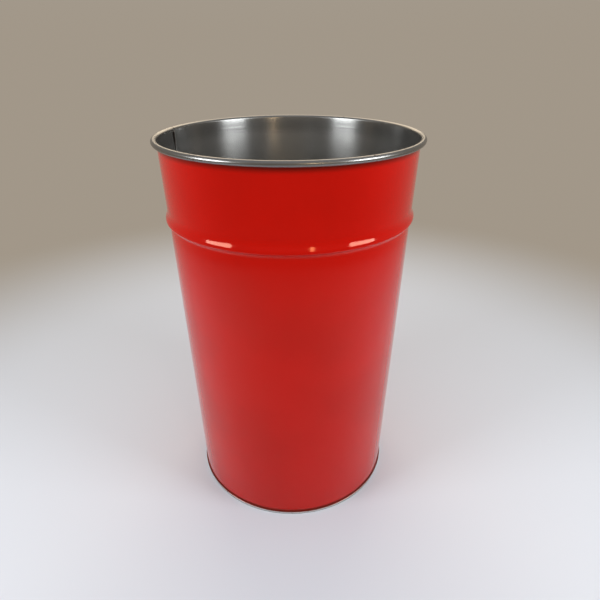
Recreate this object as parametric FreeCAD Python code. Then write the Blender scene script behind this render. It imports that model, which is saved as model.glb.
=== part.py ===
import FreeCAD, Part
import math
import os

# Open-topped tapered bin of thin sheet steel. Millimetres and degrees.
# The origin is on the floor at the centre of the foot, and +Z is up.

# Overall size
bin_height = 477.0            # floor to the top of the rim
rim_radius = 156.0            # axis to the outside of the rolled rim

# Sheet that the body is rolled from
sheet = 0.5

# Rolled rim, curled outward round a reinforcing wire
wire_diameter = 5.2
wire_clearance = 0.1          # wire to the inside of the curl
wire_joint_gap = 0.6          # between the butted ends of the wire ring
wire_joint_azimuth = 342.0    # opposite the side seam
curl_edge_gap = 0.15          # raw edge of the curl to the outside of the wall

# Lower wall, measured on the outer face of the sheet
foot_radius = 135.4           # where the wall meets the seam ring
foot_bend = 8.0               # bend from the upright foot to the leaning wall
shoulder_drop = 111.7         # top of the rim down to where the straight lower wall ends
shoulder_inset = 0.76         # that place, in from a straight line between foot and rim

# Stiffening bead between the lower wall and the upper band
waist_depth = 0.5             # dip of the wall under the bead
waist_height = 14.0
cove_bend = 5.9               # hollow under the bead
bead_undercut = 68.0          # steepest lean of the bead's underside
bead_edge_bend = 1.25         # tight lower edge of the bead
bead_slope_height = 12.5      # from the crown of the bead up to the neck
neck_inset = 0.25             # neck above the bead, in from the line between foot and rim
crown_share = 0.3             # part of the slope's bends that lies at the crown

# Folded side seam that closes the rolled sheet, raised on the inside
seam_azimuth = 162.0
seam_width = 8.0
seam_layers = 3               # layers of sheet that lie inside the wall
seam_rim_clearance = 2.0      # top of the seam to where the rim starts to curl
seam_floor_clearance = 0.6    # bottom of the seam to the base panel
crease_width = 0.6            # fine line that the seam leaves on the outside
crease_depth = 0.15

# Drawn base, hooked to the body by a rolled double seam
base_sheet = 0.5
base_lift = 6.0               # floor to the underside of the base panel
base_bend = 1.5               # bend from the panel into its upright wall
lip_bend = 0.5                # bends of the seam where it stands on the floor
ring_height = 3.4             # floor to the top of the seam ring
layer_gap = 0.05              # between the layers of the double seam
hook_gap = 0.1                # between a hook's end and the bend that it points at
panel_step = 1.2              # rise of the middle of the base
panel_step_inset = 31.0       # outside of the foot to the edge of the raised middle
panel_step_bend = 2.0
panel_step_slope = 32.0       # lean of the step in the base

# One overrun for every cut
overrun = 1.0

FULL_TURN = 360.0
HALF_TURN = 180.0
QUARTER_TURN = 90.0
AXIS = FreeCAD.Vector(0, 0, 1)
ORIGIN = FreeCAD.Vector(0, 0, 0)

# Sizes that follow from the ones above, all on the middle of the sheet
half_sheet = sheet / 2
curl_radius = wire_diameter / 2 + wire_clearance + sheet
curl_bend = curl_radius - half_sheet
curl_centre = (rim_radius - curl_radius, bin_height - curl_radius)
mouth_radius = rim_radius - 2 * curl_radius + sheet
shoulder_height = bin_height - shoulder_drop

# Radii of the layers of the double seam, from the inside out
foot_line = foot_radius - half_sheet
chuck_line = foot_radius - sheet - layer_gap - base_sheet / 2
cover_hook_line = foot_radius + layer_gap + base_sheet / 2
body_hook_line = foot_radius + layer_gap + base_sheet + layer_gap + half_sheet
ring_line = body_hook_line + half_sheet + layer_gap + base_sheet / 2
body_hook_bend = (body_hook_line - foot_line) / 2
cover_hook_bend = (ring_line - cover_hook_line) / 2
body_bend_height = base_sheet + layer_gap + half_sheet + body_hook_bend
cover_bend_height = ring_height - base_sheet / 2 - cover_hook_bend


def run(length):
    """A straight stretch of a sheet's middle line."""
    return ("run", length, 0)


def left(bend, angle):
    """A round bend to the left, of this radius and angle."""
    return ("bend", bend, angle)


def right(bend, angle):
    """A round bend to the right, of this radius and angle."""
    return ("bend", bend, -angle)


def direction(heading):
    angle = math.radians(heading)
    return math.cos(angle), math.sin(angle)


def advance(place, heading, step):
    """The place and heading after one step."""
    kind, size, angle = step
    if kind == "run":
        across, up = direction(heading)
        return (place[0] + size * across, place[1] + size * up), heading
    side = math.copysign(size, angle)
    across, up = direction(heading)
    centre = (place[0] - side * up, place[1] + side * across)
    across, up = direction(heading + angle)
    return (centre[0] + side * up, centre[1] - side * across), heading + angle


def follow(place, heading, steps):
    """The place and heading at the end of all the steps."""
    for step in steps:
        place, heading = advance(place, heading, step)
    return place, heading


def shifted(place, heading, offset):
    """A point beside the line, as a point in the XZ plane. Left is positive."""
    across, up = direction(heading)
    return FreeCAD.Vector(place[0] - offset * up, 0, place[1] + offset * across)


def side_edges(place, heading, steps, offset):
    """The edges that run along one side of the line, at this offset."""
    edges = []
    for step in steps:
        kind, size, angle = step
        end_place, end_heading = advance(place, heading, step)
        start = shifted(place, heading, offset)
        end = shifted(end_place, end_heading, offset)
        if kind == "run":
            edges.append(Part.LineSegment(start, end).toShape())
        else:
            mid_place, mid_heading = advance(place, heading, (kind, size, angle / 2))
            mid = shifted(mid_place, mid_heading, offset)
            edges.append(Part.Arc(start, mid, end).toShape())
        place, heading = end_place, end_heading
    return edges


def ribbon(place, heading, steps, low, high):
    """A flat strip that follows the steps, between two offsets from their line."""
    end_place, end_heading = follow(place, heading, steps)
    start_cap = Part.LineSegment(shifted(place, heading, low), shifted(place, heading, high))
    end_cap = Part.LineSegment(shifted(end_place, end_heading, low), shifted(end_place, end_heading, high))
    edges = side_edges(place, heading, steps, low) + side_edges(place, heading, steps, high)
    edges += [start_cap.toShape(), end_cap.toShape()]
    return Part.Face(Part.Wire(Part.__sortEdges__(edges)))


def revolved(face, azimuth=0, angle=FULL_TURN):
    """The solid that a face in the XZ plane sweeps round the axis, centred on an azimuth."""
    start = face.copy()
    if angle != FULL_TURN:
        start.rotate(ORIGIN, AXIS, azimuth - angle / 2)
    return start.revolve(ORIGIN, AXIS, angle)


def plain_wall(height):
    """The radius of a straight line from the foot to the rim, on the outer face, at this height."""
    share = (height - ring_height) / (curl_centre[1] - ring_height)
    return foot_radius + share * (mouth_radius - foot_radius)


def wall_line(start_centre, start_bend, end_centre, end_bend):
    """The lean and length of the straight wall that joins two bends, both outside it."""
    out = end_centre[0] - start_centre[0]
    up = end_centre[1] - start_centre[1]
    apart = math.hypot(out, up)
    shift = end_bend - start_bend
    lean = math.degrees(math.atan2(out, up) - math.asin(shift / apart))
    return lean, math.sqrt(apart * apart - shift * shift)


def dip_bend(depth, height):
    """The bend radius and angle of an arc that leaves a line by depth over height."""
    angle = 2 * math.atan(depth / height)
    return height / math.sin(angle), math.degrees(angle)


def lower_wall():
    """The lean and length of the straight lower wall."""
    foot_centre = (foot_line + foot_bend, ring_height)
    shoulder = (plain_wall(shoulder_height) - shoulder_inset - half_sheet, shoulder_height)
    return wall_line(foot_centre, foot_bend, shoulder, 0)


def bead_steps(lean):
    """The waist, the cove and the bead, up to its crown, where the wall stands upright."""
    waist_bend, waist_angle = dip_bend(waist_depth, waist_height)
    return [left(waist_bend, waist_angle),
            right(cove_bend, bead_undercut + waist_angle - lean),
            left(bead_edge_bend, bead_undercut)]


def wall_steps(lower_length, top_clearance):
    """The leaning wall with its bead, from low on the lower wall up to near the rim."""
    lean, full_length = lower_wall()
    foot_to_crown = [right(foot_bend, lean), run(full_length)] + bead_steps(lean)
    crown, _ = follow((foot_line, ring_height), QUARTER_TURN, foot_to_crown)
    neck_height = crown[1] + bead_slope_height
    neck_line = plain_wall(neck_height) - neck_inset - half_sheet
    slope_bend, slope_angle = dip_bend(crown[0] - neck_line, bead_slope_height)
    crown_bend = crown_share * slope_bend
    neck_bend = slope_bend - crown_bend
    neck_centre = (neck_line + neck_bend, neck_height)
    band_lean, band_length = wall_line(neck_centre, neck_bend, curl_centre, curl_bend)
    return [run(lower_length)] + bead_steps(lean) + [
        left(crown_bend, slope_angle),
        right(neck_bend, slope_angle + band_lean),
        run(band_length - top_clearance)]


def foot_steps(lean):
    """The body's hook and the upright foot, from the raw edge up to the leaning wall."""
    hook_end = cover_bend_height - hook_gap
    return [run(hook_end - body_bend_height),
            right(body_hook_bend, HALF_TURN),
            run(ring_height - body_bend_height),
            right(foot_bend, lean)]


def curl_steps():
    """The rim, rolled outward until its raw edge is close to the wall."""
    open_angle = math.degrees(math.acos(1 - (sheet + curl_edge_gap) / curl_radius))
    return [right(curl_bend, FULL_TURN - open_angle)]


def slab(place, heading, steps, low, high):
    """A flat strip between two copies of the line, moved straight out from the axis."""
    end_place, _ = follow(place, heading, steps)
    edges = [Part.LineSegment(FreeCAD.Vector(spot[0] + low, 0, spot[1]),
                              FreeCAD.Vector(spot[0] + high, 0, spot[1])).toShape()
             for spot in (place, end_place)]
    for shift in (low, high):
        edges += side_edges((place[0] + shift, place[1]), heading, steps, 0)
    return Part.Face(Part.Wire(Part.__sortEdges__(edges)))


def seam_strip(low, high, width):
    """A strip of the leaning wall at the side seam, between two distances from the sheet's middle."""
    lean, length = lower_wall()
    start, heading = follow((foot_line, ring_height), QUARTER_TURN, [right(foot_bend, lean)])
    bottom = base_lift + base_sheet + panel_step + seam_floor_clearance
    skipped = (bottom - start[1]) / math.cos(math.radians(lean))
    start, heading = advance(start, heading, run(skipped))
    steps = wall_steps(length - skipped, seam_rim_clearance)
    middle_radius = (foot_radius + rim_radius) / 2
    angle = math.degrees(width / middle_radius)
    return revolved(slab(start, heading, steps, low, high), seam_azimuth, angle)


def body_shell():
    """The rolled sheet: hook, wall, bead and curl in one, closed by the folded side seam."""
    lean, length = lower_wall()
    start = (body_hook_line, cover_bend_height - hook_gap)
    steps = foot_steps(lean) + wall_steps(length, 0) + curl_steps()
    shell = revolved(ribbon(start, -QUARTER_TURN, steps, -half_sheet, half_sheet))
    fold = seam_strip(-half_sheet - seam_layers * sheet, 0, seam_width)
    crease = seam_strip(half_sheet - crease_depth, half_sheet + overrun, crease_width)
    return shell.fuse(fold).cut(crease)


def rim_wire():
    """The wire ring inside the curl, with its two ends butted."""
    centre = FreeCAD.Vector(curl_centre[0], 0, curl_centre[1])
    circle = Part.Circle(centre, FreeCAD.Vector(0, 1, 0), wire_diameter / 2)
    face = Part.Face(Part.Wire(circle.toShape()))
    gap_angle = math.degrees(wire_joint_gap / curl_centre[0])
    return revolved(face, wire_joint_azimuth + HALF_TURN, FULL_TURN - gap_angle)


def base_pan():
    """The drawn base: raised panel, upright wall, foot ring and the hook inside the seam."""
    half = base_sheet / 2
    start = (0, base_lift + half + panel_step)
    slope = math.radians(panel_step_slope)
    bends_drop = 2 * panel_step_bend * (1 - math.cos(slope))
    slope_run = run((panel_step - bends_drop) / math.sin(slope))
    step = [right(panel_step_bend, panel_step_slope), slope_run, left(panel_step_bend, panel_step_slope)]
    panel_step_radius = foot_radius - panel_step_inset
    step_end, _ = follow((panel_step_radius, start[1]), 0, step)
    hook_end = body_bend_height + hook_gap
    steps = [run(panel_step_radius)] + step + [
        run(chuck_line - base_bend - step_end[0]),
        right(base_bend, QUARTER_TURN),
        run(base_lift - base_bend - lip_bend),
        left(lip_bend, QUARTER_TURN),
        run(ring_line - chuck_line - 2 * lip_bend),
        left(lip_bend, QUARTER_TURN),
        run(cover_bend_height - half - lip_bend),
        left(cover_hook_bend, HALF_TURN),
        run(cover_bend_height - hook_end)]
    return revolved(ribbon(start, 0, steps, -half, half))


nodes = {"body_shell": body_shell(), "rim_wire": rim_wire(), "base_pan": base_pan()}

os.makedirs("parts", exist_ok=True)
for name, shape in nodes.items():
    print(name, "solids", len(shape.Solids), "valid", shape.isValid(), "volume", round(shape.Volume, 1))
    shape.exportStep("parts/" + name + ".step")
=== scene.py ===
import math
from collections import namedtuple

import bmesh
import bpy
from mathutils import Matrix, Vector


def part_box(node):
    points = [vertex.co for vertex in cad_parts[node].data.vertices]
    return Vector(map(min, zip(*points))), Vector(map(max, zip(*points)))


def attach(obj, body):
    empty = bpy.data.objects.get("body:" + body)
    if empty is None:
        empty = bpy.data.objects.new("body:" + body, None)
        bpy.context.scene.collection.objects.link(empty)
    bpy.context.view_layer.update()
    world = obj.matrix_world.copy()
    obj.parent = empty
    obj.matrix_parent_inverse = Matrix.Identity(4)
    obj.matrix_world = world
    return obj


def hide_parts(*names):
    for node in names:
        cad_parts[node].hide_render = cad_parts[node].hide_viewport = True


# Finish of an open-topped tapered bin of thin sheet steel. Metres and degrees.
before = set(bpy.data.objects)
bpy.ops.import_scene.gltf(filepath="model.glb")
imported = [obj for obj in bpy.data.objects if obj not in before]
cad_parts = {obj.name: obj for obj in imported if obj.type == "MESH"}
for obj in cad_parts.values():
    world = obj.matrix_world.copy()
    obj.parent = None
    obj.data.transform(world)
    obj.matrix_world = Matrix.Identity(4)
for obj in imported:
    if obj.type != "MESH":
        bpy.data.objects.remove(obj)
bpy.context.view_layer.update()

bl_info = {
    "name": "Sheet steel bin",
    "version": (1, 0, 0),
    "blender": (4, 5, 0),
    "location": "3D Viewport > Sidebar > Bin",
    "description": "Dresses the body, base and rim wire of an enamelled sheet steel bin, and sets its stage",
    "category": "Add Mesh",
}

MM = 0.001
HALF_TURN = 180.0
QUARTER_TURN = 90.0

BODY_LOW, BODY_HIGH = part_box("body_shell")
WIRE_LOW, WIRE_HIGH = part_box("rim_wire")
BODY_REACH = min(BODY_HIGH.x, BODY_HIGH.y, -BODY_LOW.x, -BODY_LOW.y)

# How one-sided the gloss of the rolled wall is, the turn that draws it up the wall, and how metallic it is
UPRIGHT_LAY = (0.72, 0.25)
CHALKY_METAL = 0.88

# Numbers that a section's points carry for their material
OUTSIDE, INSIDE, EDGE = 0.0, 1.0, 2.0

MERGE_DISTANCE = 0.001 * MM
SHARP_ANGLE = 38.0              # corners that turn by more than this stay sharp
FLOOR_REACH = 6.0
FLOOR_SIDES = 96
LAMP_TARGET = (0.0, 0.0, 0.30)  # what every lamp faces

# Camera fitted to the photograph: metres, degrees down, to the right and of roll, and millimetres
CAMERA_PLACE = (0.0, -0.5917, 0.5692)
CAMERA_TURNS = (27.78, 1.15, 0.18)
CAMERA_SENSOR = 36.0
CAMERA_LENS = 29.37
CAMERA_NEAR = 0.02


def length(name, description, default):
    """A size that a user may change."""
    return bpy.props.FloatProperty(name=name, description=description, default=default,
                                   min=0.0, precision=5, unit="LENGTH")


def angle(name, description, default):
    """An angle that a user may change, kept in radians."""
    return bpy.props.FloatProperty(name=name, description=description, default=math.radians(default),
                                   subtype="ANGLE")


def colour(name, description, default):
    """A colour that a user may change, in linear light."""
    return bpy.props.FloatVectorProperty(name=name, description=description, default=default,
                                         subtype="COLOR", size=3, min=0.0, max=1.0)


def number(name, description, default):
    """A plain number that a user may change."""
    return bpy.props.FloatProperty(name=name, description=description, default=default, min=0.0)


class BodySizes(bpy.types.PropertyGroup):
    """Sizes of the rolled sheet, from its hook at the foot to the curl round the rim wire."""
    bin_height: length("Height", "Floor to the top of the rim", BODY_HIGH.z)
    rim_radius: length("Rim radius", "Axis to the outside of the rolled rim", BODY_REACH)
    sheet: length("Sheet", "Thickness of the body's sheet", 0.5 * MM)
    wire_diameter: length("Rim wire", "Diameter of the wire in the rim", WIRE_HIGH.z - WIRE_LOW.z)
    wire_clearance: length("Wire clearance", "Wire to the inside of the curl", 0.1 * MM)
    curl_edge_gap: length("Curl gap", "Raw edge of the curl to the wall", 0.15 * MM)
    foot_radius: length("Foot radius", "Outer face of the wall at the seam ring", 135.4 * MM)
    foot_bend: length("Foot bend", "Bend from the upright foot to the leaning wall", 8.0 * MM)
    shoulder_drop: length("Shoulder drop", "Top of the rim to the top of the lower wall", 111.7 * MM)
    shoulder_inset: length("Shoulder inset", "Shoulder in from a straight wall", 0.76 * MM)
    waist_depth: length("Waist depth", "Dip of the wall under the bead", 0.5 * MM)
    waist_height: length("Waist height", "Height of the dip under the bead", 14.0 * MM)
    cove_bend: length("Cove bend", "Hollow under the bead", 5.9 * MM)
    bead_undercut: angle("Bead undercut", "Steepest lean of the bead's underside", 68.0)
    bead_edge_bend: length("Bead edge", "Tight lower edge of the bead", 1.25 * MM)
    bead_slope_height: length("Bead slope", "Crown of the bead up to the neck", 12.5 * MM)
    neck_inset: length("Neck inset", "Neck above the bead in from a straight wall", 0.25 * MM)
    crown_share: bpy.props.FloatProperty(
        name="Crown share", description="Part of the slope's bends at the crown",
        default=0.3, min=0.0, max=1.0, subtype="FACTOR")
    roll_mark_drop: length("Roll mark", "Top of the rim to the faint ring that the rolls leave", 14.0 * MM)
    roll_mark_height: length("Roll mark height", "How far the faint ring stands out", 0.035 * MM)
    roll_mark_width: length("Roll mark width", "Width of the faint ring", 1.6 * MM)
    ripple_depth: length("Ripple", "Unevenness of the thin wall", 0.10 * MM)
    columns: bpy.props.IntProperty(name="Columns", description="Columns of faces round the bin",
                                   default=320, min=48, max=380)


class SeamSizes(bpy.types.PropertyGroup):
    """Sizes of the folded side seam and of the double seam at the foot."""
    seam_azimuth: angle("Seam azimuth", "Where the side seam is", 162.0)
    seam_width: length("Seam width", "Width of the folded seam", 8.0 * MM)
    seam_rise: length("Seam rise", "Layers of sheet that lie inside the wall", 1.5 * MM)
    seam_rim_clearance: length("Rim clearance", "Top of the seam to where the rim starts to curl", 2.0 * MM)
    seam_floor_clearance: length("Base clearance", "Bottom of the seam to the base panel", 0.6 * MM)
    crease_width: length("Crease width", "Fine line that the seam leaves outside", 0.6 * MM)
    crease_depth: length("Crease depth", "Depth of that line", 0.15 * MM)
    ring_height: length("Ring height", "Floor to the top of the seam ring", 3.4 * MM)
    layer_gap: length("Layer gap", "Between the layers of the double seam", 0.05 * MM)
    hook_gap: length("Hook gap", "Hook's end to the bend that it points at", 0.1 * MM)


class BaseSizes(bpy.types.PropertyGroup):
    """Sizes of the drawn base."""
    base_sheet: length("Base sheet", "Thickness of the base", 0.5 * MM)
    base_lift: length("Base lift", "Floor to the underside of the base", 6.0 * MM)
    base_bend: length("Base bend", "Bend from the base into its upright wall", 1.5 * MM)
    lip_bend: length("Lip bend", "Bends of the seam where it stands on the floor", 0.5 * MM)
    panel_step: length("Panel step", "Rise of the middle of the base", 1.2 * MM)
    panel_step_inset: length("Panel step inset", "Foot to the edge of the raised middle", 31.0 * MM)
    panel_step_bend: length("Panel step bend", "Bends of that step", 2.0 * MM)
    panel_step_slope: angle("Panel step slope", "Lean of that step", 32.0)


class Finishes(bpy.types.PropertyGroup):
    """Colours and gloss of the bin."""
    enamel: colour("Enamel", "Baked red enamel outside", (0.50, 0.001, 0.0))
    enamel_sheen: colour("Enamel reflection", "Tint of what the enamel reflects head on", (1.0, 0.53, 0.36))
    tin: colour("Tinplate", "Bare tinplate of the base and deep inside", (0.77, 0.765, 0.75))
    # Painted shade on the tinplate inside: darker towards the rim, and darker again right at the rim
    upper_wall_shade: colour("Tinplate dulling", "What handling leaves of that tone", (0.52, 0.52, 0.52))
    rim_edge_shade: colour("Rim dulling", "What it leaves once more right at the rim", (0.66, 0.66, 0.66))
    stain: colour("Stain", "Faint stains on the bare tinplate", (0.52, 0.47, 0.37))
    wire: colour("Wire", "Drawn wire in the rim", (0.45, 0.44, 0.43))
    # Used both for real dirt spots and for the painted shade in the seam's crevice
    dirt_and_shade: colour("Grime", "Dirt in the crevices", (0.035, 0.022, 0.016))
    # Colour of the painted shade and reflection of the dark crevice just above the seam ring
    foot_shade: colour("Foot grime", "Dirt on the enamel above the seam ring", (0.19, 0.007, 0.003))
    # Painted shade on the top of the seam ring, under the red wall
    ring_top_shade: colour("Ring dulling", "What dirt leaves of the seam ring's tone", (0.45, 0.12, 0.09))
    # Painted contact shadow along the ring's foot, where it meets the floor
    contact_shadow: colour("Foot dulling", "What wear leaves of that tone at the floor", (0.45, 0.41, 0.38))
    enamel_gloss: number("Enamel roughness", "Roughness of the enamel", 0.06)
    tin_gloss: number("Tinplate roughness", "Roughness of the bare tinplate", 0.22)


class StageLook(bpy.types.PropertyGroup):
    """Floor, room and lamps."""
    floor: colour("Floor", "Pale floor round the bin", (0.65, 0.69, 0.76))
    far_floor: colour("Far floor", "Even warm tone beyond the pale floor", (0.36, 0.31, 0.25))
    backdrop: colour("Backdrop", "Pale tone of the walls of the room", (0.40, 0.37, 0.33))
    ceiling: colour("Ceiling", "Dim tone overhead", (0.56, 0.56, 0.56))
    floor_radius: length("Floor radius", "Axis to where the pale floor has faded", 1.20)
    floor_fade: length("Floor fade", "Width over which the pale floor fades", 0.65)
    lamp_distance: length("Lamp distance", "Each lamp in front to the bin", 0.95)
    lamp_power: number("Lamp power", "Power of each lamp in front in watts", 4.6)
    spark_power: number("Spark power", "Power of the small warm lamp in front in watts", 0.45)
    lamp_tint: colour("Lamp tint", "Slightly cool tint of the lamps in front", (0.94, 0.98, 1.0))
    spark_tint: colour("Spark tint", "Warm tint of the small lamp", (1.0, 0.72, 0.42))
    back_tint: colour("Back tint", "Warm tint of the lamp behind", (1.0, 0.82, 0.60))
    back_distance: length("Back distance", "The lamp behind to the bin", 2.4)
    back_power: number("Back power", "Power of the lamp behind in watts", 23.0)


# Path of a bent sheet, as straight runs and round bends in (radius, height)


Step = namedtuple("Step", "kind size turn spacing")
Station = namedtuple("Station", "radius height heading step share")


def run(size, spacing=9.0 * MM):
    """A straight stretch, with stations no further apart than the spacing."""
    return Step("run", size, 0.0, spacing)


def left(bend, turn, spacing=9.0):
    """A round bend to the left, with a station at least every so many degrees."""
    return Step("bend", bend, turn, spacing)


def right(bend, turn, spacing=9.0):
    """A round bend to the right."""
    return Step("bend", bend, -turn, spacing)


def direction(heading):
    """The share of a heading that goes across and the share that goes up."""
    turn = math.radians(heading)
    return math.cos(turn), math.sin(turn)


def advance(point, heading, step, share=1.0):
    """The point and heading after a share of one step."""
    across, up = direction(heading)
    if step.kind == "run":
        return (point[0] + share * step.size * across, point[1] + share * step.size * up), heading
    side = math.copysign(step.size, step.turn)
    centre = (point[0] - side * up, point[1] + side * across)
    heading += share * step.turn
    across, up = direction(heading)
    return (centre[0] + side * up, centre[1] - side * across), heading


def follow(point, heading, steps):
    """The point and heading after all the steps."""
    for step in steps:
        point, heading = advance(point, heading, step)
    return point, heading


def stations(point, heading, steps):
    """Stations along the steps. Each knows its step by number, and its share of that step."""
    found = [Station(*point, heading, 0, 0.0)]
    for order, step in enumerate(steps):
        extent = step.size if step.kind == "run" else abs(step.turn)
        count = max(1, math.ceil(extent / step.spacing))
        for part in range(1, count + 1):
            spot, turned = advance(point, heading, step, part / count)
            found.append(Station(*spot, turned, order, part / count))
        point, heading = advance(point, heading, step)
    return found


def beside(station, offset):
    """The point beside a station. Left is positive."""
    across, up = direction(station.heading)
    return station.radius - offset * up, station.height + offset * across


def dip_bend(depth, height):
    """The bend radius and angle of an arc that leaves a line by depth over height."""
    turn = 2 * math.atan(depth / height)
    return height / math.sin(turn), math.degrees(turn)


def wall_line(start_centre, start_bend, end_centre, end_bend):
    """The lean and length of the straight wall that joins two bends, both outside it."""
    out = end_centre[0] - start_centre[0]
    up = end_centre[1] - start_centre[1]
    apart = math.hypot(out, up)
    shift = end_bend - start_bend
    lean = math.degrees(math.atan2(out, up) - math.asin(shift / apart))
    return lean, math.sqrt(apart * apart - shift * shift)


class BodyPath:
    """The middle line of the body's sheet, from its raw hook edge up to the raw edge of the curl."""

    def __init__(self, body, seam, base):
        half = body.sheet / 2
        self.half = half
        curl_radius = body.wire_diameter / 2 + body.wire_clearance + body.sheet
        curl_bend = curl_radius - half
        curl_centre = (body.rim_radius - curl_radius, body.bin_height - curl_radius)
        mouth_radius = body.rim_radius - 2 * curl_radius + body.sheet
        undercut = math.degrees(body.bead_undercut)

        def plain_wall(height):
            share = (height - seam.ring_height) / (curl_centre[1] - seam.ring_height)
            return body.foot_radius + share * (mouth_radius - body.foot_radius)

        foot_line = body.foot_radius - half
        hook_line = body.foot_radius + 2 * seam.layer_gap + base.base_sheet + half
        hook_bend = (hook_line - foot_line) / 2
        bend_height = base.base_sheet + seam.layer_gap + half + hook_bend
        ring_line = hook_line + half + seam.layer_gap + base.base_sheet / 2
        cover_hook_line = body.foot_radius + seam.layer_gap + base.base_sheet / 2
        cover_bend = (ring_line - cover_hook_line) / 2
        hook_end = seam.ring_height - base.base_sheet / 2 - cover_bend - seam.hook_gap

        shoulder_height = body.bin_height - body.shoulder_drop
        shoulder = (plain_wall(shoulder_height) - body.shoulder_inset - half, shoulder_height)
        foot_centre = (foot_line + body.foot_bend, seam.ring_height)
        lean, self.lower_length = wall_line(foot_centre, body.foot_bend, shoulder, 0)

        waist_bend, waist_turn = dip_bend(body.waist_depth, body.waist_height)
        foot = [run(hook_end - bend_height),
                right(hook_bend, HALF_TURN, spacing=20.0),
                run(seam.ring_height - bend_height),
                right(body.foot_bend, lean)]
        bead = [left(waist_bend, waist_turn, spacing=2.1),
                right(body.cove_bend, undercut + waist_turn - lean, spacing=6.5),
                left(body.bead_edge_bend, undercut, spacing=8.6)]
        start = (hook_line, hook_end)
        lower = [run(self.lower_length)]
        crown, _ = follow(start, -QUARTER_TURN, foot + lower + bead)
        neck_height = crown[1] + body.bead_slope_height
        neck_line = plain_wall(neck_height) - body.neck_inset - half
        slope_bend, slope_turn = dip_bend(crown[0] - neck_line, body.bead_slope_height)
        crown_bend = body.crown_share * slope_bend
        neck_bend = slope_bend - crown_bend
        neck_centre = (neck_line + neck_bend, neck_height)
        band_lean, band_length = wall_line(neck_centre, neck_bend, curl_centre, curl_bend)
        bead += [left(crown_bend, slope_turn, spacing=6.5),
                 right(neck_bend, slope_turn + band_lean, spacing=4.6)]
        mark = 3 * body.roll_mark_width
        mark_rise = (body.bin_height - body.roll_mark_drop - neck_height) / direction(band_lean)[0]
        band = [run(mark_rise - mark, spacing=8.0 * MM),
                run(2 * mark, spacing=body.roll_mark_width / 2),
                run(band_length - mark_rise - mark)]
        open_turn = math.degrees(math.acos(1 - (body.sheet + body.curl_edge_gap) / curl_radius))
        curl = [right(curl_bend, 2 * HALF_TURN - open_turn, spacing=9.5)]

        self.lower_wall = len(foot)
        band_start = len(foot + lower + bead)
        self.band = range(band_start, band_start + len(band))
        self.curl = self.band.stop
        self.stations = stations(start, -QUARTER_TURN, foot + lower + bead + band + curl)


def base_path(body, seam, base):
    """Stations along the middle of the base's sheet, from the axis out to the hook in the seam."""
    half = base.base_sheet / 2
    foot_line = body.foot_radius - body.sheet / 2
    chuck_line = body.foot_radius - body.sheet - seam.layer_gap - half
    body_hook_line = body.foot_radius + 2 * seam.layer_gap + base.base_sheet + body.sheet / 2
    ring_line = body_hook_line + body.sheet / 2 + seam.layer_gap + half
    cover_hook_bend = (ring_line - body.foot_radius - seam.layer_gap - half) / 2
    cover_bend_height = seam.ring_height - half - cover_hook_bend
    body_hook_bend = (body_hook_line - foot_line) / 2
    hook_end = base.base_sheet + seam.layer_gap + body.sheet / 2 + body_hook_bend + seam.hook_gap

    start = (0.0, base.base_lift + half + base.panel_step)
    slope = math.degrees(base.panel_step_slope)
    bends_drop = 2 * base.panel_step_bend * (1 - math.cos(base.panel_step_slope))
    step_run = (base.panel_step - bends_drop) / math.sin(base.panel_step_slope)
    panel = [right(base.panel_step_bend, slope), run(step_run), left(base.panel_step_bend, slope)]
    step_radius = body.foot_radius - base.panel_step_inset
    panel_end, _ = follow((step_radius, start[1]), 0.0, panel)
    steps = [run(step_radius, spacing=13.0 * MM)] + panel + [
        run(chuck_line - base.base_bend - panel_end[0]),
        right(base.base_bend, QUARTER_TURN, spacing=15.0),
        run(base.base_lift - base.base_bend - base.lip_bend),
        left(base.lip_bend, QUARTER_TURN, spacing=15.0),
        run(ring_line - chuck_line - 2 * base.lip_bend),
        left(base.lip_bend, QUARTER_TURN, spacing=15.0),
        run(cover_bend_height - half - base.lip_bend),
        left(cover_hook_bend, HALF_TURN, spacing=12.0),
        run(cover_bend_height - hook_end)]
    return stations(start, 0.0, steps)


# Node helpers


def fill(tree, node, inputs):
    """Sets inputs of a node. They are (socket name or number, value or output socket) pairs."""
    for key, value in inputs:
        if isinstance(value, bpy.types.NodeSocket):
            tree.links.new(value, node.inputs[key])
        else:
            node.inputs[key].default_value = value


def place(tree, kind, inputs=(), **options):
    """Adds a node with its options and inputs."""
    node = tree.nodes.new(kind)
    for name, value in options.items():
        setattr(node, name, value)
    fill(tree, node, inputs)
    return node


def added(tree, kind, inputs=(), **options):
    """Adds a node, and gives its first output."""
    return place(tree, kind, inputs, **options).outputs[0]


def maths(tree, operation, *values):
    """The output of a sum on values or output sockets."""
    return added(tree, "ShaderNodeMath", enumerate(values), operation=operation)


def grain(tree, coordinates, scale, detail=3.0, rough=0.5):
    """A noise from 0 to 1."""
    return added(tree, "ShaderNodeTexNoise", [("Vector", coordinates), ("Scale", scale), ("Detail", detail),
                                              ("Roughness", rough)])


def new_group(name, sockets):
    """An empty modifier tree with named inputs, and the sockets of its group input by name."""
    tree = bpy.data.node_groups.new(name, "GeometryNodeTree")
    tree.is_modifier = True
    tree.interface.new_socket("Geometry", in_out="INPUT", socket_type="NodeSocketGeometry")
    tree.interface.new_socket("Geometry", in_out="OUTPUT", socket_type="NodeSocketGeometry")
    for socket_name, socket_type in sockets:
        tree.interface.new_socket(socket_name, in_out="INPUT", socket_type="NodeSocket" + socket_type)
    return tree, tree.nodes.new("NodeGroupInput").outputs


def stored(tree, name):
    """The output of a named attribute that the input mesh carries."""
    node = place(tree, "GeometryNodeInputNamedAttribute", [("Name", name)], data_type="FLOAT")
    return node.outputs["Attribute"]


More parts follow.
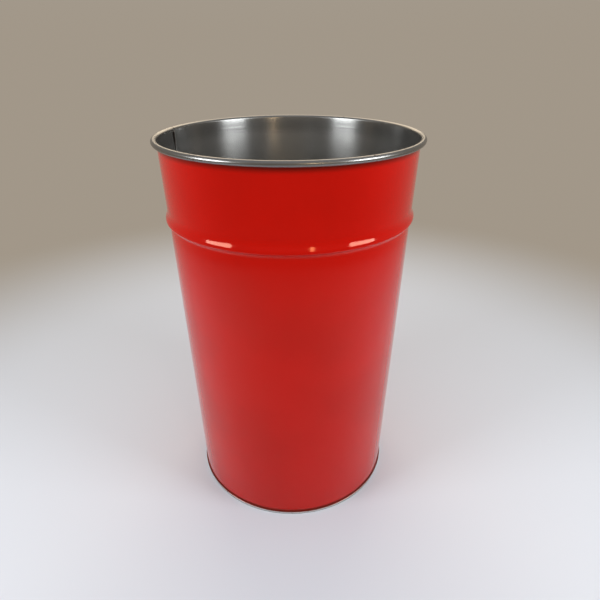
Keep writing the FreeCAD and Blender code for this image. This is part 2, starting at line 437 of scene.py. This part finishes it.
def finish_tree(tree, geometry, assigned):
    """Smooth shading, one material for each finish number, then the output."""
    geometry = added(tree, "GeometryNodeSetShadeSmooth", [(0, geometry)])
    geometry = added(tree, "GeometryNodeRealizeInstances", [(0, geometry)])
    for order, material in enumerate(assigned):
        inputs = [(0, geometry), ("Material", material)]
        if order:
            inputs.append(("Selection", maths(tree, "COMPARE", stored(tree, "finish"), float(order), 0.5)))
        geometry = added(tree, "GeometryNodeSetMaterial", inputs)
    place(tree, "NodeGroupOutput", [(0, geometry)])


def round_the_axis(tree, geometry, radius, height, azimuth):
    """Puts each point at its own radius, height and azimuth."""
    across = maths(tree, "MULTIPLY", radius, maths(tree, "COSINE", azimuth))
    deep = maths(tree, "MULTIPLY", radius, maths(tree, "SINE", azimuth))
    spot = added(tree, "ShaderNodeCombineXYZ", [(0, across), (1, deep), (2, height)])
    return added(tree, "GeometryNodeSetPosition", [(0, geometry), ("Position", spot)])


def lathe_tree():
    """Sweeps a section outline round the axis, with columns that crowd together at the seam's crease."""
    crowded = 4.0          # columns on each side of the crease that stand closer together
    waves_around = 3.2     # how busy the sheet's unevenness is round the bin
    waves_up = 3.0         # and up the wall, for each metre
    tree, given = new_group("turned_sheet", [
        ("Columns", "Int"), ("Seam azimuth", "Float"), ("Crease width", "Float"), ("Crease depth", "Float"),
        ("Ripple depth", "Float"), ("Wall radius", "Float"),
        ("Outside", "Material"), ("Inside", "Material"), ("Edge", "Material")])
    section = added(tree, "GeometryNodeMeshToCurve", [(0, given["Geometry"])])
    circle = added(tree, "GeometryNodeCurvePrimitiveCircle", [("Resolution", given["Columns"])])
    index = tree.nodes.new("GeometryNodeInputIndex").outputs[0]
    circle = added(tree, "GeometryNodeStoreNamedAttribute",
                   [(0, circle), ("Name", "column"), ("Value", index)], data_type="FLOAT")
    swept = added(tree, "GeometryNodeCurveToMesh", [(0, circle), (1, section)])

    # Columns counted both ways from the crease, each crowded one twice as far from it as the one before
    column = stored(tree, "column")
    columns = given["Columns"]
    half_way = maths(tree, "DIVIDE", columns, 2.0)
    beyond = maths(tree, "GREATER_THAN", column, half_way)
    signed = maths(tree, "SUBTRACT", column, maths(tree, "MULTIPLY", beyond, columns))
    side = maths(tree, "SIGN", signed)
    count = maths(tree, "ABSOLUTE", signed)
    first = maths(tree, "DIVIDE", given["Crease width"], maths(tree, "MULTIPLY", given["Wall radius"], 2.0))
    doublings = maths(tree, "SUBTRACT", maths(tree, "MINIMUM", count, crowded), 1.0)
    near = maths(tree, "MULTIPLY", first, maths(tree, "POWER", 2.0, doublings))
    edge = maths(tree, "MULTIPLY", first, 2.0 ** (crowded - 1))
    spread = added(tree, "ShaderNodeMapRange",
                   [("Value", count), ("From Min", crowded), ("From Max", half_way),
                    ("To Min", edge), ("To Max", math.pi)])
    is_far = maths(tree, "GREATER_THAN", count, crowded)
    turned = added(tree, "ShaderNodeMix", [(0, is_far), (2, near), (3, spread)], data_type="FLOAT")
    azimuth = maths(tree, "MULTIPLY_ADD", side, turned, given["Seam azimuth"])

    # Crease of the seam, and the slow unevenness of thin sheet
    radius = stored(tree, "section_radius")
    height = stored(tree, "section_height")
    at_seam = maths(tree, "LESS_THAN", count, 0.5)
    creased = maths(tree, "MULTIPLY", at_seam, stored(tree, "crease"))
    radius = maths(tree, "SUBTRACT", radius, maths(tree, "MULTIPLY", creased, given["Crease depth"]))
    around = added(tree, "ShaderNodeCombineXYZ",
                   [(0, maths(tree, "MULTIPLY", maths(tree, "COSINE", azimuth), waves_around)),
                    (1, maths(tree, "MULTIPLY", maths(tree, "SINE", azimuth), waves_around)),
                    (2, maths(tree, "MULTIPLY", height, waves_up))])
    swing = maths(tree, "SUBTRACT", grain(tree, around, 1.0, 2.0, 0.45), 0.5)
    rippled = maths(tree, "MULTIPLY", maths(tree, "MULTIPLY", swing, 2.0), stored(tree, "ripple"))
    radius = maths(tree, "MULTIPLY_ADD", rippled, given["Ripple depth"], radius)

    turned = round_the_axis(tree, swept, radius, height, azimuth)
    merged = added(tree, "GeometryNodeMergeByDistance", [(0, turned), ("Distance", MERGE_DISTANCE)])
    finish_tree(tree, merged, [given["Outside"], given["Inside"], given["Edge"]])
    return tree


def fold_tree():
    """Sweeps the seam's folded section up the inside of the wall."""
    tree, given = new_group("folded_seam", [("Seam azimuth", "Float"), ("Inside", "Material")])
    curves = []
    for comparison, dropped in (("LESS_THAN", ("off_middle", "rise")),
                                ("GREATER_THAN", ("wall_radius", "wall_height"))):
        chosen = maths(tree, comparison, stored(tree, "part"), 0.5)
        curve = added(tree, "GeometryNodeMeshToCurve", [(0, given["Geometry"]), (1, chosen)])
        for name in dropped:
            curve = added(tree, "GeometryNodeRemoveAttribute", [(0, curve), ("Name", name)])
        curves.append(curve)
    swept = added(tree, "GeometryNodeCurveToMesh", [(0, curves[0]), (1, curves[1]), ("Fill Caps", True)])
    radius = maths(tree, "SUBTRACT", stored(tree, "wall_radius"), stored(tree, "rise"))
    off = maths(tree, "DIVIDE", stored(tree, "off_middle"), stored(tree, "wall_radius"))
    azimuth = maths(tree, "SUBTRACT", given["Seam azimuth"], off)
    turned = round_the_axis(tree, swept, radius, stored(tree, "wall_height"), azimuth)
    finish_tree(tree, turned, [given["Inside"]])
    return tree


def set_inputs(modifier, values):
    """Sets a modifier's inputs by the identifiers of its tree's sockets."""
    sockets = {s.name: s.identifier for s in modifier.node_group.interface.items_tree if s.in_out == "INPUT"}
    for name, value in values.items():
        modifier[sockets[name]] = value


def chain_mesh(name, points, edges, carried):
    """Edges between points that each carry a number for every attribute."""
    mesh = bpy.data.meshes.new(name)
    mesh.from_pydata(points, edges, [])
    for key, values in carried.items():
        attribute = mesh.attributes.new(key, "FLOAT", "POINT")
        attribute.data.foreach_set("value", values)
    return mesh


def chain(first, count, closed=False):
    """Edges that join a row of points, and its ends where it is closed."""
    edges = [(first + order, first + order + 1) for order in range(count - 1)]
    return edges + [(first + count - 1, first)] if closed else edges


def section_mesh(name, points, closed, carried):
    """A sheet's section in the XZ plane, as the lathe wants it."""
    carried = {"section_height": [z for _, z in points], **carried}
    return chain_mesh(name, [(x, 0.0, z) for x, z in points], chain(0, len(points), closed), carried)


def grown(name, mesh, tree, inputs):
    """The plain mesh that a tree makes from an input mesh, as a new object."""
    piece = bpy.data.objects.new(name, mesh)
    modifier = piece.modifiers.new(tree.name, "NODES")
    modifier.node_group = tree
    set_inputs(modifier, inputs)
    bpy.context.scene.collection.objects.link(piece)
    graph = bpy.context.evaluated_depsgraph_get()
    result = bpy.data.meshes.new_from_object(piece.evaluated_get(graph), preserve_all_data_layers=True,
                                             depsgraph=graph)
    piece.modifiers.clear()
    piece.data = result
    for spent in [a.name for a in result.attributes if a.data_type == "FLOAT" and a.domain == "POINT"]:
        result.attributes.remove(result.attributes[spent])
    return piece


def turned_outwards(piece):
    """Turns a closed mesh so that its faces point outwards, and marks its real corners sharp."""
    work = bmesh.new()
    work.from_mesh(piece.data)
    if work.calc_volume(signed=True) < 0:
        bmesh.ops.reverse_faces(work, faces=work.faces)
    work.to_mesh(piece.data)
    work.free()
    piece.data.set_sharp_from_angle(angle=math.radians(SHARP_ANGLE))


def joined(pieces, name):
    """One mesh object made of several."""
    with bpy.context.temp_override(active_object=pieces[0], selected_editable_objects=pieces,
                                   selected_objects=pieces, object=pieces[0]):
        bpy.ops.object.join()
    pieces[0].name = name
    pieces[0].data.name = name
    return pieces[0]


# Materials


def new_material(name):
    """A material, its tree, its main shader and its object coordinates."""
    material = bpy.data.materials.new(name)
    material.use_nodes = True
    tree = material.node_tree
    shader = tree.nodes["Principled BSDF"]
    coordinates = tree.nodes.new("ShaderNodeTexCoord").outputs["Object"]
    return material, tree, shader, coordinates


def stretched(tree, coordinates, scale):
    """Coordinates scaled differently along each axis."""
    return added(tree, "ShaderNodeMapping", [("Vector", coordinates), ("Scale", scale)])


def ramp(tree, value, low, high, to_low=0.0, to_high=1.0):
    """A value mapped smoothly from one span to another, held at its ends."""
    return added(tree, "ShaderNodeMapRange",
                 [("Value", value), ("From Min", low), ("From Max", high),
                  ("To Min", to_low), ("To Max", to_high)], interpolation_type="SMOOTHSTEP")


def mixed(tree, share, first, second, blend="MIX"):
    """Two colours mixed by a share."""
    node = place(tree, "ShaderNodeMix", [(0, share), (6, first), (7, second)],
                 data_type="RGBA", blend_type=blend)
    return node.outputs[2]


def bumped(tree, height, depth, normal=None):
    """A normal raised by a height from 0 to 1, whose full swing is the depth."""
    pairs = [("Height", height), ("Distance", depth), ("Strength", 1.0)]
    if normal is not None:
        pairs.append(("Normal", normal))
    return added(tree, "ShaderNodeBump", pairs)


def rgba(tone, level=1.0):
    """A colour at a level, with full opacity."""
    return (*(level * channel for channel in tone), 1.0)


def height_of(tree, coordinates):
    """The height in some coordinates."""
    return place(tree, "ShaderNodeSeparateXYZ", [(0, coordinates)]).outputs[2]


def seam_line(tree, coordinates, seam, low, high):
    """1 on a line up the wall between two distances round from the side seam's middle, with soft edges."""
    soft = 0.25 * MM
    split = place(tree, "ShaderNodeSeparateXYZ", [(0, coordinates)]).outputs
    across, deep = math.cos(seam.seam_azimuth), math.sin(seam.seam_azimuth)
    off = maths(tree, "MULTIPLY_ADD", split[0], -deep, maths(tree, "MULTIPLY", split[1], across))
    out = maths(tree, "MULTIPLY_ADD", split[0], across, maths(tree, "MULTIPLY", split[1], deep))
    line = maths(tree, "MULTIPLY", ramp(tree, off, low - soft, low + soft),
                 ramp(tree, off, high + soft, high - soft))
    return maths(tree, "MULTIPLY", line, maths(tree, "GREATER_THAN", out, 0.0))


def enamel_material(look, seam, rim_height):
    """Baked red enamel: deep gloss, faint orange peel, a few nibs and wipes, and painted shade under the
    rim, along the seam's crease and at the foot.
    """
    shade_gone, shade_full = rim_height - 14.0 * MM, rim_height - 7.5 * MM
    foot_shade_gone, foot_shade_full = seam.ring_height + 4.3 * MM, seam.ring_height + 2.7 * MM
    crease_shade_reach = 0.2 * MM
    peel_depth, nib_depth = 0.006 * MM, 0.10 * MM
    material, tree, shader, here = new_material("red_enamel")
    height = height_of(tree, here)

    # A slightly uneven coat, with a painted shadow right under the rim and a fine line of painted shade
    # along the side seam
    cloud = ramp(tree, grain(tree, here, 9.0), 0.35, 0.65)
    tone = mixed(tree, cloud, rgba(look.enamel, 0.95), rgba(look.enamel, 1.05))
    rim_shadow = ramp(tree, height, shade_gone, shade_full)
    tone = mixed(tree, rim_shadow, tone, rgba(look.enamel, 0.35))
    # Painted shade in the fine crease that the side seam leaves outside
    line = seam_line(tree, here, seam, -crease_shade_reach, crease_shade_reach)
    tone = mixed(tree, line, tone, rgba(look.enamel, 0.30))

    # Patchy painted shade and reflection of the dark crevice, just above the seam ring
    near_ring = ramp(tree, height, foot_shade_gone, foot_shade_full)
    patchy = ramp(tree, grain(tree, here, 160.0, 2.0), 0.3, 0.6, 0.75, 1.0)
    # Mask of that painted shade, which also makes the enamel rougher there
    dirt = maths(tree, "MULTIPLY", near_ring, patchy)
    tone = mixed(tree, dirt, tone, rgba(look.foot_shade))

    # Gloss, less of it in faint wipes and where the shade above the ring is painted
    wipes = ramp(tree, grain(tree, stretched(tree, here, (5.0, 5.0, 26.0)), 3.0, 5.0, 0.6), 0.42, 0.70)
    rough = maths(tree, "MULTIPLY_ADD", wipes, 0.05, look.enamel_gloss - 0.01)
    rough = maths(tree, "MULTIPLY_ADD", grain(tree, here, 320.0, 2.0), 0.02, rough)
    rough = maths(tree, "MULTIPLY_ADD", dirt, 0.5, rough)

    # Orange peel, and a rare nib where dust was caught in the coat
    peel = bumped(tree, grain(tree, here, 330.0, 2.0), peel_depth)
    nibs = place(tree, "ShaderNodeTexVoronoi", [("Vector", here), ("Scale", 38.0)], feature="F1")
    lot = added(tree, "ShaderNodeSeparateColor", [(0, nibs.outputs["Color"])])
    nib = maths(tree, "MULTIPLY", ramp(tree, nibs.outputs["Distance"], 0.035, 0.0),
                maths(tree, "GREATER_THAN", lot, 0.93))
    fill(tree, shader, [("Base Color", tone), ("Roughness", rough), ("IOR", 1.5),
                        ("Normal", bumped(tree, nib, nib_depth, peel)),
                        ("Specular Tint", rgba(look.enamel_sheen))])
    return material


def tin_material(name, look, shade, roughness, lay=None, spots=None, painted_shades=(), seam=None, crevice=None):
    """Bare tinplate with its rolling grain, faint stains and cloudy tin.

    A lay is how much of its gloss runs to one side, and which. Spots of dirt have their size and share.
    Each painted shade multiplies it by a colour, from nothing at one height to all at another. Painted
    shade darkens the seam's crevice, a line between two distances off it, faint below one height and
    full above another."""
    line_depth, flute_depth = 0.0003 * MM, 0.022 * MM
    lines_round, lines_across = (9.0, 9.0, 620.0), (6.0, 500.0, 6.0)
    material, tree, shader, here = new_material(name)
    height = height_of(tree, here)

    # Cloudy tin with a faint spangle and stains
    cloud = grain(tree, here, 14.0, 4.0, 0.6)
    dim, bright = rgba(look.tin, 0.93 * shade), rgba(look.tin, 1.04 * shade)
    tone = mixed(tree, ramp(tree, cloud, 0.3, 0.7), dim, bright)
    spangle = place(tree, "ShaderNodeTexVoronoi", [("Vector", here), ("Scale", 170.0)], feature="F1")
    flake = added(tree, "ShaderNodeSeparateColor", [(0, spangle.outputs["Color"])])
    tone = mixed(tree, maths(tree, "MULTIPLY", flake, 0.05), tone, rgba(look.tin, 0.75 * shade))
    stain = ramp(tree, grain(tree, here, 5.0, 5.0, 0.62), 0.60, 0.75, 0.0, 0.22)
    tone = mixed(tree, stain, tone, rgba(look.stain, shade))
    # Painted shade: each band of heights is multiplied by a darker colour
    for clean, dull, dulling in painted_shades:
        tone = mixed(tree, ramp(tree, height, clean, dull), tone, rgba(dulling), "MULTIPLY")

    # Gloss that follows the clouds and the rolling lines, round the body or straight across the base
    lines = grain(tree, stretched(tree, here, lines_round if seam else lines_across), 1.0, 3.0, 0.7)
    rough = maths(tree, "MULTIPLY_ADD", maths(tree, "SUBTRACT", lines, 0.5), 0.02, roughness)
    rough = maths(tree, "MULTIPLY_ADD", maths(tree, "SUBTRACT", cloud, 0.5), 0.04, rough)

    if spots:
        size, share = spots
        speck = ramp(tree, grain(tree, here, 0.5 / size, 2.0, 0.55), 0.72 - share, 0.78 - share)
        patch = ramp(tree, grain(tree, here, 14.0, 1.0), 0.40, 0.60, 0.25, 0.85)
        dirty = maths(tree, "MULTIPLY", speck, patch)
        tone = mixed(tree, dirty, tone, rgba(look.dirt_and_shade))
        rough = maths(tree, "MULTIPLY_ADD", dirty, 0.3, rough)
    # Painted shade in the seam's crevice, fading out downwards as the shadow there does
    if crevice:
        low, high, faint, full = crevice
        dark = maths(tree, "MULTIPLY", seam_line(tree, here, seam, low, high),
                     ramp(tree, height, faint, full, 0.55, 1.0))
        tone = mixed(tree, maths(tree, "MULTIPLY", dark, 0.9), tone, rgba(look.dirt_and_shade))
        rough = maths(tree, "MULTIPLY_ADD", dark, 0.3, rough)

    # Only the wall that hands reach has a lay. It has fine flutes up it, and has gone a little chalky
    surface = bumped(tree, lines, line_depth)
    if lay:
        ring = added(tree, "ShaderNodeTangent", direction_type="RADIAL", axis="Z")
        fill(tree, shader, [("Tangent", ring), ("Anisotropic", lay[0]), ("Anisotropic Rotation", lay[1])])
        flutes = grain(tree, stretched(tree, here, (110.0, 110.0, 1.6)), 1.0, 3.0, 0.55)
        surface = bumped(tree, flutes, flute_depth, surface)
    fill(tree, shader, [("Base Color", tone), ("Roughness", rough), ("Normal", surface),
                        ("Metallic", CHALKY_METAL if lay else 1.0)])
    return material


def wire_material(look):
    """Drawn wire with fine lines along it."""
    line_depth = 0.01 * MM
    material, tree, shader, here = new_material("drawn_wire")
    lines = grain(tree, stretched(tree, here, (40.0, 40.0, 900.0)), 1.0)
    tone = mixed(tree, lines, rgba(look.wire, 0.85), rgba(look.wire, 1.1))
    rough = maths(tree, "MULTIPLY_ADD", lines, 0.15, 0.3)
    fill(tree, shader, [("Base Color", tone), ("Roughness", rough), ("Metallic", 1.0),
                        ("Normal", bumped(tree, lines, line_depth))])
    return material


# Pieces


def body_outline(path, body):
    """Outline of the body's section, and what each of its points carries."""
    fade = 12.0 * MM       # length over which the wall's unevenness dies out towards its bends
    mark_height = body.bin_height - body.roll_mark_drop
    points, radius, finish, crease, ripple = [], [], [], [], []
    for side, order in ((-1.0, path.stations), (1.0, path.stations[::-1])):
        for station in order:
            on_curl = station.step == path.curl
            on_lower_wall = station.step == path.lower_wall
            swing = mark = 0.0
            if on_lower_wall:
                nearest_end = min(station.share, 1.0 - station.share) * path.lower_length
                swing = min(nearest_end, fade) / fade
            if on_lower_wall or station.step in path.band:
                mark = math.exp(-((station.height - mark_height) / (0.5 * body.roll_mark_width)) ** 2)
            has_crease = station.step >= path.lower_wall if side < 0 else on_curl
            points.append(beside(station, side * path.half))
            radius.append(points[-1][0] - mark * body.roll_mark_height)
            finish.append(OUTSIDE if side < 0 else (EDGE if on_curl else INSIDE))
            crease.append(float(has_crease))
            ripple.append(swing * swing * (3.0 - 2.0 * swing))
    return points, {"section_radius": radius, "finish": finish, "crease": crease, "ripple": ripple}


def fold_outline(seam):
    """Section of the folded seam as (off middle, rise): a rounded hook, a crowned top and a joggle."""
    half_width = seam.seam_width / 2
    hook = seam.seam_rise / 2
    sunk = -0.15 * MM      # how far its back lies in the wall
    crown = 0.06 * MM
    joggle = 1.3 * MM
    tail = 0.2 * MM
    bend_parts, crown_parts = 8, 6
    points = [(-half_width + hook, sunk)]
    for part in range(bend_parts + 1):
        turn = math.radians(-QUARTER_TURN - part * HALF_TURN / bend_parts)
        points.append((-half_width + hook + hook * math.cos(turn), hook + hook * math.sin(turn)))
    flat = half_width - joggle
    for part in range(1, crown_parts):
        share = part / crown_parts
        across = (-half_width + hook) * (1 - share) + flat * share
        points.append((across, seam.seam_rise + crown * math.sin(math.pi * share)))
    for part in range(bend_parts + 1):
        share = part / bend_parts
        points.append((flat + joggle * share, seam.seam_rise * 0.5 * (1 + math.cos(math.pi * share))))
    points.append((half_width + tail, sunk))
    return points


def fold_mesh(path, body, seam, base):
    """The path up the inside of the wall and the fold's section, as two chains in one mesh."""
    least_step = 1.0 * MM
    inner = [beside(s, path.half) for s in path.stations if path.lower_wall <= s.step < path.curl]
    floor = base.base_lift + base.base_sheet + base.panel_step + seam.seam_floor_clearance
    top = inner[-1][1] - seam.seam_rim_clearance
    (low_radius, low_height), (next_radius, next_height) = inner[:2]
    rise = (floor - low_height) / (next_height - low_height)
    wall = [(low_radius + rise * (next_radius - low_radius), floor)]
    wall += [p for p in inner if floor + least_step < p[1] < top - least_step]
    wall.append((inner[-1][0], top))
    fold = fold_outline(seam)
    off_wall, off_fold = [0.0] * len(fold), [0.0] * len(wall)
    return chain_mesh(
        "seam_chains",
        [(r, 0.0, z) for r, z in wall] + [(x, z, 0.0) for x, z in fold],
        chain(0, len(wall)) + chain(len(wall), len(fold), True),
        {"part": off_fold + [1.0] * len(fold),
         "finish": off_fold + off_wall,
         "wall_radius": [r for r, _ in wall] + off_wall,
         "wall_height": [z for _, z in wall] + off_wall,
         "off_middle": off_fold + [x for x, _ in fold],
         "rise": off_fold + [z for _, z in fold]})


def settle(piece, slot, *nodes):
    """Binds a finished piece to the body and hides the nodes that it stands for. Its material slot is not
    used.
    """
    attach(piece, "root")
    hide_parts(*nodes)


def settings(context):
    """The sizes of the body, seams and base, and the finishes."""
    scene = context.scene
    return scene.bin_body, scene.bin_seam, scene.bin_base, scene.bin_finish


class BIN_OT_body(bpy.types.Operator):
    """Makes the rolled body: wall, bead, curl and folded side seam"""
    bl_idname = "bin.body"
    bl_label = "Body"

    def execute(self, context):
        body, seam, base, look = settings(context)
        path = BodyPath(body, seam, base)
        points, carried = body_outline(path, body)
        enamel = enamel_material(look, seam, body.bin_height)
        top = body.bin_height
        # Painted shade that darkens the tinplate inside towards the rim, and more right at the rim, to tone
        # down its reflections there
        shaded_upper_wall = (top - 140.0 * MM, top - 75.0 * MM, look.upper_wall_shade)
        shaded_rim_edge = (top - 30.0 * MM, top - 12.0 * MM, look.rim_edge_shade)
        hook_edge = seam.seam_width / 2
        at_hook = (hook_edge - 0.8 * MM, hook_edge + 1.0 * MM)
        at_middle = (-0.6 * MM, 0.6 * MM)
        # Heights over which the painted shade in the seam's crevice fades out downwards
        fading = (top - 26.0 * MM, top - 12.0 * MM)
        smudge = 5.0 * MM
        inside = tin_material("bare_tinplate_inside", look, 1.0, look.tin_gloss, lay=UPRIGHT_LAY,
                              painted_shades=[shaded_upper_wall, shaded_rim_edge], seam=seam, crevice=at_hook + fading)
        # The curl's tinplate is taken down to 0.31 of its tone, a painted shade for the dark room that its
        # rim reflects
        curl = tin_material("burnished_curl", look, 0.31, 0.27, spots=(smudge, 0.02),
                            seam=seam, crevice=at_middle + fading)
        outline = section_mesh("body_section", points, True, carried)
        shell = grown("bin_body", outline, lathe_tree(), {
            "Columns": body.columns, "Seam azimuth": seam.seam_azimuth, "Crease width": seam.crease_width,
            "Crease depth": seam.crease_depth, "Ripple depth": body.ripple_depth,
            "Wall radius": (body.foot_radius + body.rim_radius) / 2,
            "Outside": enamel, "Inside": inside, "Edge": curl})
        turned_outwards(shell)
        fold = grown("seam_fold", fold_mesh(path, body, seam, base), fold_tree(),
                     {"Seam azimuth": seam.seam_azimuth, "Inside": inside})
        turned_outwards(fold)
        piece = joined([shell, fold], "bin_body")
        settle(piece, "enamelled_sheet", "body_shell")
        return {"FINISHED"}


class BIN_OT_base(bpy.types.Operator):
    """Makes the drawn base with the seam ring that the bin stands on"""
    bl_idname = "bin.base"
    bl_label = "Base"

    def execute(self, context):
        body, seam, base, look = settings(context)
        half = base.base_sheet / 2
        line = base_path(body, seam, base)
        points = [beside(s, half) for s in line] + [beside(s, -half) for s in reversed(line)]
        nothing = [0.0] * len(points)
        finish = [INSIDE if p[0] > body.foot_radius else OUTSIDE for p in points]
        plate = tin_material("bare_tinplate_base", look, 1.0, 0.34)
        ring_top = seam.ring_height
        # Painted shade darkens the ring's top, where the crevice under the wall lies
        shaded_ring_top = (ring_top - 0.5 * MM, ring_top - 0.1 * MM, look.ring_top_shade)
        # Painted contact shadow along the bottom of the ring
        contact_shadow_band = (1.4 * MM, 0.7 * MM, look.contact_shadow)
        speck = 1.2 * MM
        ring = tin_material("bare_tinplate_ring", look, 0.86, 0.38, spots=(speck, 0.10),
                            painted_shades=[shaded_ring_top, contact_shadow_band])
        outline = section_mesh("base_section", points, False, {
            "section_radius": [p[0] for p in points], "finish": finish,
            "crease": nothing, "ripple": nothing})
        piece = grown("bin_base", outline, lathe_tree(), {
            "Columns": body.columns, "Seam azimuth": 0.0, "Crease width": seam.crease_width,
            "Crease depth": 0.0, "Ripple depth": 0.0, "Wall radius": body.foot_radius,
            "Outside": plate, "Inside": ring, "Edge": ring})
        turned_outwards(piece)
        settle(piece, "bare_tinplate", "base_pan")
        return {"FINISHED"}


class BIN_OT_wire(bpy.types.Operator):
    """Gives the wire ring inside the curl its drawn finish"""
    bl_idname = "bin.wire"
    bl_label = "Rim wire"

    def execute(self, context):
        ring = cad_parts["rim_wire"]
        material = wire_material(context.scene.bin_finish)
        ring.data.materials.clear()
        ring.data.materials.append(material)
        return {"FINISHED"}


def soft_lamp(name, azimuth, elevation, distance, size, watts, tint):
    """A rectangular lamp that faces the bin, with azimuth 0 in front of the bin and 90 at its right."""
    turn, rise = math.radians(azimuth), math.radians(elevation)
    back = Vector((math.sin(turn) * math.cos(rise), -math.cos(turn) * math.cos(rise), math.sin(rise)))
    data = bpy.data.lights.new(name, "AREA")
    data.shape = "RECTANGLE"
    data.size, data.size_y = size
    data.energy = watts
    data.color = tint
    lamp = bpy.data.objects.new(name, data)
    lamp.location = Vector(LAMP_TARGET) + back * distance
    lamp.rotation_euler = back.to_track_quat("Z", "Y").to_euler()
    lamp.visible_camera = False
    bpy.context.scene.collection.objects.link(lamp)


def floor_material(look):
    """Pale floor with a soft round edge, beyond which it has an even tone."""
    material, tree, shader, here = new_material("pale_floor")
    away = place(tree, "ShaderNodeVectorMath", [(0, here)], operation="LENGTH").outputs["Value"]
    pale = ramp(tree, away, look.floor_radius, look.floor_radius - look.floor_fade)
    fill(tree, shader, [("Base Color", rgba(look.floor)), ("Roughness", 0.9), ("Specular IOR Level", 0.1)])
    far = added(tree, "ShaderNodeEmission", [("Color", rgba(look.far_floor))])
    blend = added(tree, "ShaderNodeMixShader", [(0, pale), (1, far), (2, shader.outputs[0])])
    fill(tree, tree.nodes["Material Output"], [("Surface", blend)])
    return material


def room_light(look):
    """World that is the far floor's tone at the horizon, pale above it and dim overhead."""
    world = bpy.data.worlds.new("room")
    world.use_nodes = True
    tree = world.node_tree
    rise = height_of(tree, tree.nodes.new("ShaderNodeTexCoord").outputs["Generated"])
    walls = mixed(tree, ramp(tree, rise, 0.0, 0.36), rgba(look.far_floor), rgba(look.backdrop))
    room = mixed(tree, ramp(tree, rise, 0.50, 0.75), walls, rgba(look.ceiling))
    fill(tree, tree.nodes["Background"], [("Color", room)])
    return world


class BIN_OT_stage(bpy.types.Operator):
    """Sets the floor, the room, the lamps and the camera"""
    bl_idname = "bin.stage"
    bl_label = "Stage"

    def execute(self, context):
        look = context.scene.bin_stage
        work = bmesh.new()
        bmesh.ops.create_circle(work, cap_ends=True, segments=FLOOR_SIDES, radius=FLOOR_REACH)
        mesh = bpy.data.meshes.new("floor")
        work.to_mesh(mesh)
        work.free()
        floor = bpy.data.objects.new("floor", mesh)
        mesh.materials.append(floor_material(look))
        context.scene.collection.objects.link(floor)

        context.scene.world = room_light(look)

        near, far = look.lamp_distance, look.back_distance
        side, aslant = 60.0, 17.0
        front_rise, back_rise = 22.0, 36.0
        front_size, spark_size, back_size = (0.38, 0.30), (0.05, 0.20), (2.2, 1.6)
        for azimuth, name in ((-side, "lamp_left"), (side, "lamp_right")):
            soft_lamp(name, azimuth, front_rise, near, front_size, look.lamp_power, look.lamp_tint)
        soft_lamp("lamp_spark", aslant, front_rise, near, spark_size, look.spark_power, look.spark_tint)
        soft_lamp("lamp_back", HALF_TURN, back_rise, far, back_size, look.back_power, look.back_tint)

        down, aside, rolled = (math.radians(turn) for turn in CAMERA_TURNS)
        forward = Vector((math.sin(aside) * math.cos(down),
                          math.cos(aside) * math.cos(down), -math.sin(down)))
        level = Vector((math.cos(aside), -math.sin(aside), 0.0))
        under = forward.cross(level)
        across = math.cos(rolled) * level + math.sin(rolled) * under
        up = math.sin(rolled) * level - math.cos(rolled) * under
        data = bpy.data.cameras.new("camera")
        data.sensor_width = CAMERA_SENSOR
        data.lens = CAMERA_LENS
        data.clip_start = CAMERA_NEAR
        camera = bpy.data.objects.new("camera", data)
        camera.matrix_world = Matrix((across, up, -forward)).transposed().to_4x4()
        camera.location = CAMERA_PLACE
        context.scene.collection.objects.link(camera)
        context.scene.camera = camera

        context.scene.view_settings.view_transform = "Standard"
        return {"FINISHED"}


class BIN_PT_panel(bpy.types.Panel):
    bl_label = "Sheet steel bin"
    bl_idname = "BIN_PT_panel"
    bl_space_type = "VIEW_3D"
    bl_region_type = "UI"
    bl_category = "Bin"

    def draw(self, context):
        for operator in OPERATORS:
            self.layout.operator(operator.bl_idname)
        for name in SETTINGS:
            group = getattr(context.scene, name)
            box = self.layout.box()
            for key in group.bl_rna.properties.keys():
                if key not in ("rna_type", "name"):
                    box.prop(group, key)


OPERATORS = (BIN_OT_body, BIN_OT_base, BIN_OT_wire, BIN_OT_stage)
SETTINGS = {"bin_body": BodySizes, "bin_seam": SeamSizes, "bin_base": BaseSizes,
            "bin_finish": Finishes, "bin_stage": StageLook}


def register():
    for cls in (*SETTINGS.values(), *OPERATORS, BIN_PT_panel):
        bpy.utils.register_class(cls)
    for name, group in SETTINGS.items():
        setattr(bpy.types.Scene, name, bpy.props.PointerProperty(type=group))


def unregister():
    for name in SETTINGS:
        delattr(bpy.types.Scene, name)
    for cls in reversed((*SETTINGS.values(), *OPERATORS, BIN_PT_panel)):
        bpy.utils.unregister_class(cls)


def main():
    register()
    bpy.ops.bin.body()
    bpy.ops.bin.base()
    bpy.ops.bin.wire()
    bpy.ops.bin.stage()


if __name__ == "__main__":
    main()
